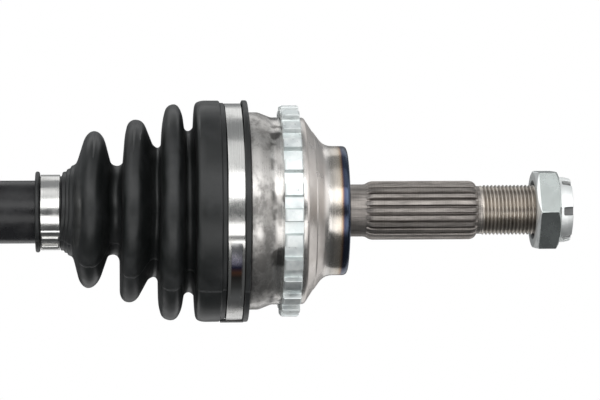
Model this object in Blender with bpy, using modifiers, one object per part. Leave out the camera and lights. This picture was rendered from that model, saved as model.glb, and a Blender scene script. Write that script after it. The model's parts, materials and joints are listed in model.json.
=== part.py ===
"""CV axle: ball joint at the wheel end, solid shaft, plunging tripod joint at the gearbox end.

+X runs along the axle towards the wheel, +Z is up, and the origin is on the axis midway between the joints.
Each turned piece is a profile of (distance along the axis, radius) pairs in millimetres, listed from the wheel
end towards the gearbox end along the outside, then back along the bore if it has one.
"""

import math

import bmesh
import bpy
from mathutils import Matrix, Vector

MM = 0.001
GAP = 0.3  # between touching pieces

# Joint centres along the axle
JOINT_SPAN = 280.0
WHEEL_JOINT = JOINT_SPAN / 2
GEARBOX_JOINT = -JOINT_SPAN / 2

# Ball joint, distances measured from its centre towards the wheel
BALLS = 6
BALL_R = 7.5
BALL_PITCH_R = 24.5
TRACK_R = 8.9
TRACK_SWEEP = 48.0
CAGE_OUTER_R = 29.0
CAGE_INNER_R = 21.0
CAGE_HALF_WIDTH = 11.0
WINDOW_LENGTH = 15.7
WINDOW_WIDTH = 18.6
RACE_R = 20.5
RACE_HALF_WIDTH = 10.0
CAVITY_R = 29.5
CAVITY_FLOOR = 22.0
BELL_RIM = -17.0
BELL_SEAT_R = 37.4
BAND_R = 38.9
BELL_R = 36.8
SHOULDER = 40.0
HUB_R = 25.5
STUB_END = 126.0
STUB_NECK_R = 10.3
SPLINE_R = 11.6
THREAD_R = 9.85
THREAD_RELIEF_R = 9.5

# Sensor ring
RING_TEETH = 26
RING_TIP_R = 41.7
RING_GAP_R = 39.5
RING_START = 13.6
RING_END = 20.7
RING_SEAT_R = 36.4

# Hub nut
NUT_FACE = 114.2
NUT_FLATS = 30.0
NUT_HEX_LENGTH = 9.6
NUT_LENGTH = 14.6
NUT_COLLAR_R = 12.9
NUT_BORE_R = THREAD_R + GAP
NUT_SLOTS = 6
NUT_TURN = math.radians(3.0)
NUT_SLOT_WIDTH = 3.3
NUT_SLOT_LENGTH = 3.8
NUT_SLOT_FLOOR_R = 11.0
NUT_SLOT_CUT = 6.0

# Shaft
SHAFT_R = 12.35
SHAFT_NECK_R = 11.0
SHAFT_SPLINE_R = 10.0
CLIP_GROOVE_R = 8.9

# Tripod joint, distances measured from its centre towards the shaft
ROLLERS = 3
ROLLER_R = 14.0
ROLLER_PITCH_R = 22.0
ROLLER_WIDTH = 11.0
NEEDLE_OUTER_R = 11.0
NEEDLE_BORE_R = 9.5
BARREL_R = 8.6
BARREL_HALF_WIDTH = 5.3
TRUNNION_R = 6.5
SPIDER_R = 13.5
SPIDER_HALF_WIDTH = 8.0
TULIP_R = 36.5
BEND_LIMIT = math.radians(20.0)
TULIP_MOUTH = 36.0
TULIP_FLOOR = -34.0
TULIP_BACK = -41.0
TULIP_VOID_R = 19.2
SLOT_HALF_WIDTH = 14.3
SLOT_FLOOR_R = 16.2
SLOT_ROOF_R = 28.8
SCALLOP_R = 13.0
SCALLOP_CENTRE_R = 39.0
SCALLOP_LENGTH = 60.0
SCALLOP_END = 14.0
JOURNAL_R = 20.0
STUB_SPLINE_R = 13.0
GEARBOX_STUB_END = -92.0

# Boots and clamps; a clamp's ear is its width round the band and its height
WALL = 2.0
CREST_HALF = 2.3
VALLEY_HALF = 0.9
CLAMP_THICKNESS = 0.7
LARGE_EAR = (16.0, 1.6)
SMALL_EAR = (7.0, 1.7)
CIRCLIP_RADII = (9.2, 11.4)
STUB_CIRCLIP_RADII = (11.5, 13.6)

COLLECTION = bpy.data.collections.new("cv_axle")
CUTTERS = bpy.data.collections.new("cutters")
MATERIALS = {}


def clear_scene():
    for obj in list(bpy.data.objects):
        bpy.data.objects.remove(obj, do_unlink=True)
    bpy.context.scene.collection.children.link(COLLECTION)
    bpy.context.scene.collection.children.link(CUTTERS)


def material(name, colour, roughness, metallic):
    if name not in MATERIALS:
        made = bpy.data.materials.new(name)
        made.use_nodes = True
        shader = made.node_tree.nodes["Principled BSDF"]
        shader.inputs["Base Color"].default_value = (*colour, 1.0)
        shader.inputs["Roughness"].default_value = roughness
        shader.inputs["Metallic"].default_value = metallic
        MATERIALS[name] = made
    return MATERIALS[name]


def machined_steel():
    return material("machined_steel", (0.50, 0.48, 0.45), 0.32, 1.0)


def bearing_steel():
    return material("bearing_steel", (0.62, 0.62, 0.63), 0.12, 1.0)


def zinc_plate():
    return material("zinc_plate", (0.62, 0.65, 0.70), 0.35, 1.0)


def black_paint():
    return material("black_paint", (0.012, 0.012, 0.013), 0.30, 0.0)


def rubber():
    return material("rubber", (0.035, 0.037, 0.038), 0.50, 0.0)


def clamp_steel():
    return material("clamp_steel", (0.55, 0.56, 0.57), 0.30, 1.0)


def add(name, mesh, look=None, sharp_angle=35.0):
    """A new object: a part when it has a look, a cutter when it has none."""
    obj = bpy.data.objects.new(name, mesh)
    if look is None:
        CUTTERS.objects.link(obj)
        obj.hide_render = True
        obj.display_type = "WIRE"
        return obj
    COLLECTION.objects.link(obj)
    mesh.materials.append(look)
    mesh.shade_smooth()
    mesh.set_sharp_from_angle(angle=math.radians(sharp_angle))
    return obj


def along_axle(obj, centre, turn=0.0):
    """Lay the object's own Z along the axle, with its origin at a joint centre, turned about the axle."""
    place = Matrix.Translation((centre * MM, 0.0, 0.0))
    obj.matrix_world = place @ Matrix.Rotation(turn, 4, "X") @ Matrix.Rotation(math.pi / 2, 4, "Y")
    return obj


def turned(name, profile, look=None, steps=24, closed=True):
    """A profile turned about the object's own Z axis; a closed profile makes a ring."""
    mesh = bpy.data.meshes.new(name)
    points = [(r * MM, 0.0, x * MM) for x, r in profile]
    edges = [(i, i + 1) for i in range(len(points) - 1)]
    if closed:
        edges.append((len(points) - 1, 0))
    mesh.from_pydata(points, edges, [])
    obj = add(name, mesh, look)
    screw = obj.modifiers.new("turn", "SCREW")
    screw.axis = "Z"
    screw.steps = steps
    screw.render_steps = steps
    screw.use_merge_vertices = True
    screw.merge_threshold = 0.00001
    screw.use_smooth_shade = True
    return obj


def cylinder(name, radius, depth, sides=24):
    bm = bmesh.new()
    bmesh.ops.create_cone(
        bm, cap_ends=True, segments=sides, radius1=radius * MM, radius2=radius * MM, depth=depth * MM
    )
    mesh = bpy.data.meshes.new(name)
    bm.to_mesh(mesh)
    bm.free()
    return add(name, mesh)


def block(name, length, width, height):
    """A box cutter of the given size along its own X, Y and Z."""
    bm = bmesh.new()
    bmesh.ops.create_cube(bm, size=1.0)
    bmesh.ops.scale(bm, vec=Vector((length, width, height)) * MM, verts=bm.verts)
    mesh = bpy.data.meshes.new(name)
    bm.to_mesh(mesh)
    bm.free()
    return add(name, mesh)


def combine(obj, other, operation="DIFFERENCE"):
    boolean = obj.modifiers.new(other.name, "BOOLEAN")
    boolean.operation = operation
    boolean.solver = "EXACT"
    boolean.object = other


def arc(radius, start, end, points):
    """(distance, radius) pairs on a sphere about the joint centre, between two angles from the mid-plane."""
    angles = [math.radians(start + (end - start) * i / (points - 1)) for i in range(points)]
    return [(radius * math.sin(a), radius * math.cos(a)) for a in angles]


def around(count, i):
    return 2 * math.pi * i / count


def ball_tracks():
    """Six curved tubes, bent about the joint centre, that cut the tracks in the bell and the inner race."""
    tracks = []
    for i in range(BALLS):
        curve = bpy.data.curves.new("track", "CURVE")
        curve.dimensions = "3D"
        curve.bevel_depth = TRACK_R * MM
        curve.bevel_resolution = 6
        curve.use_fill_caps = True
        path = arc(BALL_PITCH_R, -TRACK_SWEEP, TRACK_SWEEP, 11)
        spline = curve.splines.new("POLY")
        spline.points.add(len(path) - 1)
        for point, (x, r) in zip(spline.points, path, strict=True):
            point.co = (x * MM, 0.0, r * MM, 1.0)
        route = bpy.data.objects.new("track_route", curve)
        CUTTERS.objects.link(route)
        bpy.context.view_layer.update()
        mesh = bpy.data.meshes.new_from_object(route.evaluated_get(bpy.context.evaluated_depsgraph_get()))
        bm = bmesh.new()
        bm.from_mesh(mesh)
        bmesh.ops.remove_doubles(bm, verts=bm.verts, dist=0.000001)
        bm.to_mesh(mesh)
        bm.free()
        bpy.data.objects.remove(route, do_unlink=True)
        track = add(f"ball_track_{i + 1}", mesh)
        track.matrix_world = Matrix.Translation((WHEEL_JOINT * MM, 0, 0)) @ Matrix.Rotation(
            around(BALLS, i) - math.pi / 2, 4, "X"
        )
        tracks.append(track)
    return tracks


def outboard_housing(tracks):
    """The bell, its hub and the splined, threaded stub, forged in one piece."""
    stub = [
        (STUB_END, 0.0),
        (STUB_END, THREAD_R - 1.4),
        (STUB_END - 1.4, THREAD_R),
        (93.4, THREAD_R),
        (93.0, THREAD_RELIEF_R),
        (91.4, THREAD_RELIEF_R),
        (89.0, SPLINE_R),
        (49.5, SPLINE_R),
        (47.5, STUB_NECK_R),
        (SHOULDER + 1.2, STUB_NECK_R),
        (SHOULDER, 11.6),
        (SHOULDER, HUB_R - 1.5),
        (SHOULDER - 1.5, HUB_R),
        (31.8, HUB_R),
        (29.8, 26.7),
        (23.0, BELL_R),
    ]
    seat = [
        (RING_END + GAP, BELL_R),
        (RING_END + GAP, RING_SEAT_R),
        (RING_START - GAP, RING_SEAT_R),
        (RING_START - GAP, BELL_R + 0.1),
        (10.0, BELL_R + 0.1),
        (5.0, BAND_R),
        (1.0, BAND_R),
        (1.0, BELL_SEAT_R),
        (BELL_RIM + 0.8, BELL_SEAT_R),
        (BELL_RIM, BELL_SEAT_R - 0.8),
    ]
    mouth = [(BELL_RIM, 35.5), (-10.0, 27.75)]
    floor_angle = math.degrees(math.asin(CAVITY_FLOOR / CAVITY_R))
    cavity = arc(CAVITY_R, -15.0, floor_angle, 8)
    bell = turned(
        "outboard_housing", [*stub, *seat, *mouth, *cavity, (CAVITY_FLOOR, 0.0)], machined_steel(), closed=False
    )
    along_axle(bell, WHEEL_JOINT)
    for track in tracks:
        combine(bell, track)


def abs_ring():
    """A flat toothed ring, cut from its outline and its bore."""
    curve = bpy.data.curves.new("abs_ring", "CURVE")
    curve.dimensions = "2D"
    curve.fill_mode = "BOTH"
    curve.extrude = (RING_END - RING_START) / 2 * MM
    outline = []
    pitch = 2 * math.pi / RING_TEETH
    for tooth in range(RING_TEETH):
        for share, radius in ((0.04, RING_GAP_R), (0.07, RING_TIP_R), (0.49, RING_TIP_R), (0.52, RING_GAP_R)):
            outline.append(((tooth + share) * pitch, radius))
    bore = [(2 * math.pi * i / 40, BELL_R) for i in range(40)]
    for loop in (outline, bore):
        spline = curve.splines.new("POLY")
        spline.use_cyclic_u = True
        spline.points.add(len(loop) - 1)
        for point, (angle, radius) in zip(spline.points, loop, strict=True):
            point.co = (radius * math.cos(angle) * MM, radius * math.sin(angle) * MM, 0.0, 1.0)
    ring = bpy.data.objects.new("abs_ring", curve)
    COLLECTION.objects.link(ring)
    curve.materials.append(zinc_plate())
    along_axle(ring, WHEEL_JOINT + (RING_START + RING_END) / 2)


def outboard_cage():
    edge = math.degrees(math.asin(CAGE_HALF_WIDTH / CAGE_OUTER_R))
    inner_edge = math.degrees(math.asin(CAGE_HALF_WIDTH / CAGE_INNER_R))
    profile = [*arc(CAGE_OUTER_R, edge, -edge, 6), *arc(CAGE_INNER_R, -inner_edge, inner_edge, 6)]
    cage = along_axle(turned("outboard_cage", profile, bearing_steel()), WHEEL_JOINT)
    for i in range(BALLS):
        window = block(f"ball_window_{i + 1}", WINDOW_LENGTH, WINDOW_WIDTH, 2 * WALL + CAGE_OUTER_R - CAGE_INNER_R)
        rounding = window.modifiers.new("corners", "BEVEL")
        rounding.width = 5.0 * MM
        rounding.segments = 2
        rounding.limit_method = "WEIGHT"
        bevel_weights(window.data)
        turn = Matrix.Rotation(around(BALLS, i) - math.pi / 2, 4, "X")
        window.matrix_world = (
            Matrix.Translation((WHEEL_JOINT * MM, 0, 0)) @ turn @ Matrix.Translation((0, 0, BALL_PITCH_R * MM))
        )
        combine(cage, window)


def bevel_weights(mesh):
    """Mark a block's upright edges, the ones along its own Z, for rounding."""
    weights = mesh.attributes.new("bevel_weight_edge", "FLOAT", "EDGE")
    for edge, weight in zip(mesh.edges, weights.data, strict=True):
        a, b = (mesh.vertices[i].co for i in edge.vertices)
        weight.value = 1.0 if abs(a.z - b.z) > abs(a.x - b.x) + abs(a.y - b.y) else 0.0


def balls():
    bm = bmesh.new()
    bmesh.ops.create_icosphere(bm, subdivisions=3, radius=BALL_R * MM)
    mesh = bpy.data.meshes.new("ball")
    bm.to_mesh(mesh)
    bm.free()
    for i in range(BALLS):
        angle = around(BALLS, i)
        ball = add(f"ball_{i + 1}", mesh.copy(), bearing_steel(), sharp_angle=60.0)
        ball.location = (
            WHEEL_JOINT * MM,
            BALL_PITCH_R * math.cos(angle) * MM,
            BALL_PITCH_R * math.sin(angle) * MM,
        )


def inner_race(tracks):
    edge = math.degrees(math.asin(RACE_HALF_WIDTH / RACE_R))
    bore = SHAFT_SPLINE_R + GAP
    profile = [*arc(RACE_R, edge, -edge, 7), (-RACE_HALF_WIDTH, bore), (RACE_HALF_WIDTH, bore)]
    race = along_axle(turned("inner_race", profile, bearing_steel()), WHEEL_JOINT)
    for track in tracks:
        combine(race, track)


def snap_ring(name, centre, start, end, radii, opening=5.0):
    """A flat ring with a gap at its top, in a groove."""
    inner, outer = radii
    ring = turned(name, [(end, outer), (start, outer), (start, inner), (end, inner)], bearing_steel())
    along_axle(ring, centre)
    gap = block(f"{name}_gap", 4 * (end - start), opening, 2 * (outer - inner) + opening)
    gap.location = ((centre + (start + end) / 2) * MM, 0.0, (inner + outer) / 2 * MM)
    combine(ring, gap)


def axle_shaft():
    """One bar, necked at both joints, with a snap ring groove at each end."""
    wheel, gearbox = WHEEL_JOINT, GEARBOX_JOINT

    def end(face, side, groove):
        return [
            (face, 0.0),
            (face, SHAFT_SPLINE_R - 1.0),
            (face - side, SHAFT_SPLINE_R),
            (groove + side * 0.9, SHAFT_SPLINE_R),
            (groove + side * 0.9, CLIP_GROOVE_R),
            (groove - side * 0.9, CLIP_GROOVE_R),
            (groove - side * 0.9, SHAFT_SPLINE_R),
        ]

    wheel_end = end(wheel + RACE_HALF_WIDTH + 4.0, 1.0, wheel + RACE_HALF_WIDTH + 1.4)
    gearbox_end = end(gearbox - SPIDER_HALF_WIDTH - 4.0, -1.0, gearbox - SPIDER_HALF_WIDTH - 1.4)
    middle = [
        (wheel - RACE_HALF_WIDTH - 0.4, SHAFT_SPLINE_R),
        (wheel - RACE_HALF_WIDTH - 0.4, SHAFT_NECK_R),
        (wheel - 42.0, SHAFT_NECK_R),
        (wheel - 46.0, SHAFT_R),
        (gearbox + 66.0, SHAFT_R),
        (gearbox + 62.0, SHAFT_NECK_R),
        (gearbox + SPIDER_HALF_WIDTH + 0.4, SHAFT_NECK_R),
        (gearbox + SPIDER_HALF_WIDTH + 0.4, SHAFT_SPLINE_R),
    ]
    profile = [*wheel_end, *middle, *reversed(gearbox_end)]
    along_axle(turned("axle_shaft", profile, black_paint(), closed=False), 0.0)


def bellows(folds):
    """Outer and inner outlines of a run of crests and valleys, given as (distance, radius, is a crest)."""
    outer, inner = [], []
    for x, r, crest in folds:
        half = CREST_HALF if crest else VALLEY_HALF
        inner_half = half - 0.75 * WALL if crest else half + 0.75 * WALL
        outer += [(x + half, r), (x - half, r)]
        inner += [(x + inner_half, r - WALL), (x - inner_half, r - WALL)]
    return outer, inner


def outboard_boot():
    """Three folds that shrink from the bell to the shaft, with a clamp seat at each end."""
    seat = BELL_SEAT_R + GAP
    bore = SHAFT_R + GAP
    outer, inner = bellows(
        [
            (-21.9, 31.8, False),
            (-28.6, 42.5, True),
            (-34.3, 25.4, False),
            (-44.6, 35.8, True),
            (-51.5, 17.5, False),
            (-60.8, 30.5, True),
        ]
    )
    big_end = [
        (0.7, 43.7),
        (-1.3, 43.7),
        (-1.3, 41.4),
        (-8.4, 41.4),
        (-8.4, 42.6),
        (-10.0, 42.6),
        (-10.0, 43.5),
        (-17.5, 43.5),
        (-19.4, 42.3),
    ]
    small_end = [
        (-67.0, 18.0),
        (-72.0, 15.3),
        (-72.3, 13.8),
        (-80.4, 13.8),
        (-80.4, 15.85),
        (-82.2, 15.85),
        (-82.2, bore),
        (-67.0, bore),
    ]
    profile = [*big_end, *outer, *small_end, *reversed(inner), (-17.7, 34.0), (-17.7, seat), (0.7, seat)]
    along_axle(turned("outboard_boot", profile, rubber()), WHEEL_JOINT)


def inboard_boot():
    """Four folds from the tulip to the shaft; distances run from the tripod centre towards the shaft."""
    seat = TULIP_R + GAP
    bore = SHAFT_R + GAP
    outer, inner = bellows(
        [
            (86.0, 25.0, True),
            (80.5, 18.5, False),
            (73.0, 32.2, True),
            (67.0, 29.2, False),
            (59.0, 38.0, True),
            (52.5, 33.6, False),
            (44.5, 40.5, True),
            (39.3, 33.0, False),
        ]
    )
    small_end = [(104.0, 15.85), (101.2, 15.85), (101.2, 13.8), (94.5, 13.8), (94.5, 15.3), (90.5, 17.0)]
    big_end = [
        (36.5, 41.5),
        (34.5, 42.0),
        (28.6, 42.0),
        (28.6, 40.1),
        (19.6, 40.1),
        (19.6, 42.0),
        (17.0, 42.0),
        (17.0, seat),
        (36.4, seat),
        (36.4, 32.0),
    ]
    profile = [*small_end, *outer, *big_end, *reversed(inner), (90.5, bore), (104.0, bore)]
    along_axle(turned("inboard_boot", profile, rubber()), GEARBOX_JOINT)


def clamp(name, centre, start, end, inner, ear, ear_angle):
    """A thin band with a raised crimp, united in one piece."""
    ear_width, ear_height = ear
    outer = inner + CLAMP_THICKNESS
    band = turned(name, [(end, outer), (start, outer), (start, inner), (end, inner)], clamp_steel())
    along_axle(band, centre)
    crimp = block(f"{name}_ear", (end - start) * 0.8, ear_width, ear_height)
    crimp.matrix_world = (
        Matrix.Translation(((centre + (start + end) / 2) * MM, 0, 0))
        @ Matrix.Rotation(ear_angle, 4, "X")
        @ Matrix.Translation((0, 0, (inner + 0.35 * CLAMP_THICKNESS + ear_height / 2) * MM))
    )
    combine(band, crimp, "UNION")


def hub_nut():
    """A hexagon with chamfered corners and a slotted collar."""
    corner = NUT_FLATS / 2 / math.cos(math.pi / 6)
    hex_end = NUT_FACE + NUT_HEX_LENGTH
    end = NUT_FACE + NUT_LENGTH
    profile = [
        (end, NUT_COLLAR_R - 1.0),
        (end - 1.2, NUT_COLLAR_R),
        (hex_end, NUT_COLLAR_R),
        (hex_end, NUT_FLATS / 2 - 0.6),
        (hex_end - 1.5, corner),
        (NUT_FACE + 1.2, corner),
        (NUT_FACE, NUT_FLATS / 2 - 0.3),
        (NUT_FACE, NUT_BORE_R),
        (end, NUT_BORE_R),
    ]
    nut = along_axle(turned("hub_nut", profile, zinc_plate()), WHEEL_JOINT)
    flats = cylinder("nut_flats", corner, 3 * NUT_LENGTH, sides=6)
    along_axle(flats, WHEEL_JOINT + NUT_FACE, turn=NUT_TURN)
    combine(nut, flats, "INTERSECT")
    for i in range(NUT_SLOTS):
        slot = block(f"nut_slot_{i + 1}", 2 * NUT_SLOT_LENGTH, NUT_SLOT_WIDTH, NUT_SLOT_CUT)
        slot.matrix_world = (
            Matrix.Translation(((WHEEL_JOINT + end) * MM, 0, 0))
            @ Matrix.Rotation(around(NUT_SLOTS, i) + math.pi / 6 + NUT_TURN, 4, "X")
            @ Matrix.Translation((0, 0, (NUT_SLOT_FLOOR_R + NUT_SLOT_CUT / 2) * MM))
        )
        combine(nut, slot)


def tripod_housing():
    """The tulip with three roller tracks, its seal journal and the gearbox stub, in one piece."""
    mouth_r = math.tan(BEND_LIMIT) * TULIP_MOUTH + 17.0
    profile = [
        (TULIP_FLOOR, 0.0),
        (TULIP_FLOOR, TULIP_VOID_R),
        (7.1, TULIP_VOID_R),
        (TULIP_MOUTH, mouth_r),
        (TULIP_MOUTH, TULIP_R - 0.8),
        (TULIP_MOUTH - 0.8, TULIP_R),
        (TULIP_BACK + 4.0, TULIP_R),
        (TULIP_BACK, TULIP_R - 4.0),
        (TULIP_BACK, 24.0),
        (TULIP_BACK - 2.0, JOURNAL_R),
        (-57.5, JOURNAL_R),
        (-58.5, JOURNAL_R - 1.0),
        (-58.5, STUB_SPLINE_R),
        (-84.0, STUB_SPLINE_R),
        (-84.0, 11.2),
        (-86.4, 11.2),
        (-86.4, STUB_SPLINE_R),
        (GEARBOX_STUB_END + 2.0, STUB_SPLINE_R),
        (GEARBOX_STUB_END, STUB_SPLINE_R - 2.0),
        (GEARBOX_STUB_END, 0.0),
    ]
    tulip = along_axle(turned("tripod_housing", profile, machined_steel(), closed=False), GEARBOX_JOINT)
    depth = TULIP_MOUTH - TULIP_FLOOR
    for i in range(ROLLERS):
        turn = Matrix.Rotation(around(ROLLERS, i) - math.pi / 2, 4, "X")
        centre = Matrix.Translation((GEARBOX_JOINT * MM, 0, 0))
        track = block(f"roller_track_{i + 1}", depth + 10.0, 2 * SLOT_HALF_WIDTH, SLOT_ROOF_R - SLOT_FLOOR_R)
        middle = Vector((TULIP_FLOOR + depth / 2 + 5.0, 0.0, (SLOT_ROOF_R + SLOT_FLOOR_R) / 2)) * MM
        track.matrix_world = centre @ turn @ Matrix.Translation(middle)
        combine(tulip, track)
        scallop = cylinder(f"scallop_{i + 1}", SCALLOP_R, SCALLOP_LENGTH)
        opposite = Matrix.Rotation(around(ROLLERS, i) + math.pi / 2, 4, "X")
        spot = Matrix.Translation(Vector((SCALLOP_END - SCALLOP_LENGTH / 2, 0.0, SCALLOP_CENTRE_R)) * MM)
        scallop.matrix_world = centre @ opposite @ spot @ Matrix.Rotation(math.pi / 2, 4, "Y")
        combine(tulip, scallop)


def tripod_spider():
    """A hub with three arms; each arm ends in a rounded barrel that carries a roller."""
    bore = SHAFT_SPLINE_R + GAP
    half = SPIDER_HALF_WIDTH
    profile = [
        (half, SPIDER_R - 1.0),
        (half - 1.0, SPIDER_R),
        (1.0 - half, SPIDER_R),
        (-half, SPIDER_R - 1.0),
        (-half, bore),
        (half, bore),
    ]
    spider = along_axle(turned("tripod_spider", profile, bearing_steel()), GEARBOX_JOINT)
    edge = math.degrees(math.asin(BARREL_HALF_WIDTH / BARREL_R))
    barrel = [(x + ROLLER_PITCH_R, r) for x, r in arc(BARREL_R, edge, -edge, 6)]
    tip, foot = barrel[0][0], 12.2
    arm_profile = [(tip, 0.0), *barrel, (barrel[-1][0], TRUNNION_R), (foot, TRUNNION_R), (foot, 0.0)]
    for i in range(ROLLERS):
        arm = turned(f"spider_arm_{i + 1}", arm_profile, None, closed=False)
        arm.matrix_world = Matrix.Translation((GEARBOX_JOINT * MM, 0, 0)) @ Matrix.Rotation(
            around(ROLLERS, i) - math.pi / 2, 4, "X"
        )
        combine(spider, arm, "UNION")


def rollers():
    """Each roller is a crowned outer ring on a needle ring; the first one sits on the hinge line."""
    half = ROLLER_WIDTH / 2
    needle = [(half - 0.6, NEEDLE_OUTER_R), (0.6 - half, NEEDLE_OUTER_R)]
    needle += [(0.6 - half, NEEDLE_BORE_R), (half - 0.6, NEEDLE_BORE_R)]
    ring_bore = NEEDLE_OUTER_R + GAP
    ring = [(half, ROLLER_R - 1.0), (half * 0.45, ROLLER_R), (-half * 0.45, ROLLER_R), (-half, ROLLER_R - 1.0)]
    ring += [(-half, ring_bore), (half, ring_bore)]
    for i in range(ROLLERS):
        turn = Matrix.Rotation(around(ROLLERS, i) - math.pi / 2, 4, "X")
        place = Matrix.Translation((GEARBOX_JOINT * MM, 0, 0)) @ turn
        place = place @ Matrix.Translation((0, 0, ROLLER_PITCH_R * MM))
        turned(f"roller_{i + 1}", ring, bearing_steel()).matrix_world = place
        turned(f"needle_ring_{i + 1}", needle, bearing_steel()).matrix_world = place


def build():
    clear_scene()
    tracks = ball_tracks()
    outboard_housing(tracks)
    abs_ring()
    outboard_cage()
    balls()
    inner_race(tracks)
    snap_ring("race_circlip", WHEEL_JOINT, RACE_HALF_WIDTH + 0.8, RACE_HALF_WIDTH + 2.0, CIRCLIP_RADII)
    hub_nut()
    axle_shaft()
    outboard_boot()
    clamp("outboard_clamp_large", WHEEL_JOINT, -8.1, -1.6, 41.7, LARGE_EAR, math.radians(170))
    clamp("outboard_clamp_small", WHEEL_JOINT, -80.1, -72.6, 14.1, SMALL_EAR, math.radians(150))
    tripod_housing()
    tripod_spider()
    rollers()
    snap_ring("spider_circlip", GEARBOX_JOINT, -SPIDER_HALF_WIDTH - 2.0, -SPIDER_HALF_WIDTH - 0.8, CIRCLIP_RADII)
    snap_ring("stub_circlip", GEARBOX_JOINT, -86.0, -84.4, STUB_CIRCLIP_RADII)
    inboard_boot()
    clamp("inboard_clamp_large", GEARBOX_JOINT, 19.9, 28.3, 40.4, LARGE_EAR, math.radians(170))
    clamp("inboard_clamp_small", GEARBOX_JOINT, 94.8, 100.9, 14.1, SMALL_EAR, math.radians(150))


build()
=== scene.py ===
"""Looks of the CV axle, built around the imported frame.

+X runs along the axle towards the wheel and the camera looks along +Y. Turned pieces are outlines of
(distance along the axle, radius) in millimetres from a joint centre, swept round the axle.
"""

import json
import math

import bmesh
import bpy
import numpy as np
from mathutils import Matrix, Vector, noise


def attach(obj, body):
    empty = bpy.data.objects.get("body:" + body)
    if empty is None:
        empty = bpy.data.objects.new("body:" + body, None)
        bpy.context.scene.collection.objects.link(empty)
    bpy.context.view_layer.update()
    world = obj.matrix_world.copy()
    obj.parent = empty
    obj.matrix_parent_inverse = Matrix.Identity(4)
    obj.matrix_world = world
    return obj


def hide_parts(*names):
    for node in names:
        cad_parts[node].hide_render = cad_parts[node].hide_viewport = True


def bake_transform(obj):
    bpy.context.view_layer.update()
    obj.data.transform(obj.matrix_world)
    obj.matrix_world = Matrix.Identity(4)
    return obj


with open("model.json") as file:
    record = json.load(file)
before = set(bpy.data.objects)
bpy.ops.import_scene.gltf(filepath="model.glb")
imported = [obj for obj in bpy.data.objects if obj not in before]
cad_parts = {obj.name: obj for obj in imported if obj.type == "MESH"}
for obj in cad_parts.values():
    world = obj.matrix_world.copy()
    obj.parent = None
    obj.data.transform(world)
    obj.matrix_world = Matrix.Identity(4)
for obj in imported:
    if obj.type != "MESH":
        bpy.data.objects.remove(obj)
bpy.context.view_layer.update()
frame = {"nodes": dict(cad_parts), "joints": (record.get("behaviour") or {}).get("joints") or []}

MM = 0.001
JOINTS = {joint["name"]: joint for joint in frame["joints"]}
WHEEL = JOINTS["outboard_articulation"]["pos_m"][0] / MM
GEARBOX = JOINTS["inboard_articulation"]["pos_m"][0] / MM
CAMERA_SIDE = math.pi  # angle round the axle, from +Y towards +Z

# Millimetres unless a line says otherwise; places along the axle are from the nearer joint centre.
CAMERA_AIM = (WHEEL + 21.8, 0.0, 4.25)
CAMERA_DISTANCE = 1.145  # metres
CAMERA_YAW, CAMERA_ROLL = math.radians(3.7), math.radians(-0.25)
LIGHTS_AIM = Vector((0.12, 0.0, 0.0))  # metres
FLOOR_LEVEL, FLOOR_RADIUS = -0.8, 10.0  # metres
LARGE_CLAMP, SMALL_CLAMP = (-8.1, -1.6), (-80.1, -72.6)
TULIP_CLAMP, INNER_CLAMP = (19.9, 28.3), (94.8, 100.9)
CLAMP_THICKNESS = 0.7
LAP_RISE, POCKET_DEPTH = 0.55, 0.45
POCKET_FROM, POCKET_TO = math.radians(16), math.radians(54)  # below the camera's side
POCKET_RIM = 1.2
BALLS = 6
BALL_R = 7.5
BALL_PITCH_R = 24.5
TRACK_R = 8.9
SHOULDER = 40.0
SPLINE_TEETH = 24
SPLINE_START, SPLINE_END = 47.5, 91.0
SPLINE_TIP_R, SPLINE_ROOT_R = 11.6, 10.35
THREAD_START, THREAD_END = 92.8, 126.0
THREAD_PITCH = 1.5
THREAD_R, THREAD_DEPTH = 9.85, 0.85
RING_TEETH = 26
RING_START, RING_END = 13.6, 20.7
RING_TIP_R, RING_GAP_R, RING_BORE_R = 41.7, 39.5, 36.75
NUT_FACE = 114.2
NUT_FLATS = 30.0
NUT_TURN = math.radians(3.0)
NUT_HEX_LENGTH, NUT_LENGTH = 9.6, 14.6
NUT_SLOTS = 6
BOOT_JOIN = 52.5


# ---------------------------------------------------------------- camera and light


def make_camera():
    data = bpy.data.cameras.new("camera")
    data.sensor_width = 36.0
    data.lens = 174.0
    data.clip_end = 100.0
    camera = bpy.data.objects.new("camera", data)
    bpy.context.scene.collection.objects.link(camera)
    bpy.context.scene.camera = camera
    looking = Vector((math.sin(CAMERA_YAW), math.cos(CAMERA_YAW), 0.0))
    camera.location = Vector(CAMERA_AIM) * MM - looking * CAMERA_DISTANCE
    level = looking.to_track_quat("-Z", "Y").to_matrix().to_4x4()
    camera.rotation_euler = (level @ Matrix.Rotation(CAMERA_ROLL, 4, "Z")).to_euler()


def softbox(name, elevation, azimuth, distance, width, height, radiance):
    """An even panel of light that faces the bell; azimuth 0 is the camera's side and 90 the wheel's."""
    data = bpy.data.lights.new(name, "AREA")
    data.shape = "RECTANGLE"
    data.size = width
    data.size_y = height
    data.energy = radiance * math.pi * width * height
    light = bpy.data.objects.new(name, data)
    bpy.context.scene.collection.objects.link(light)
    e, a = math.radians(elevation), math.radians(azimuth)
    away = Vector((math.sin(a) * math.cos(e), -math.cos(a) * math.cos(e), math.sin(e)))
    light.location = LIGHTS_AIM + away * distance
    light.rotation_euler = away.to_track_quat("Z", "Y").to_euler()


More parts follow.
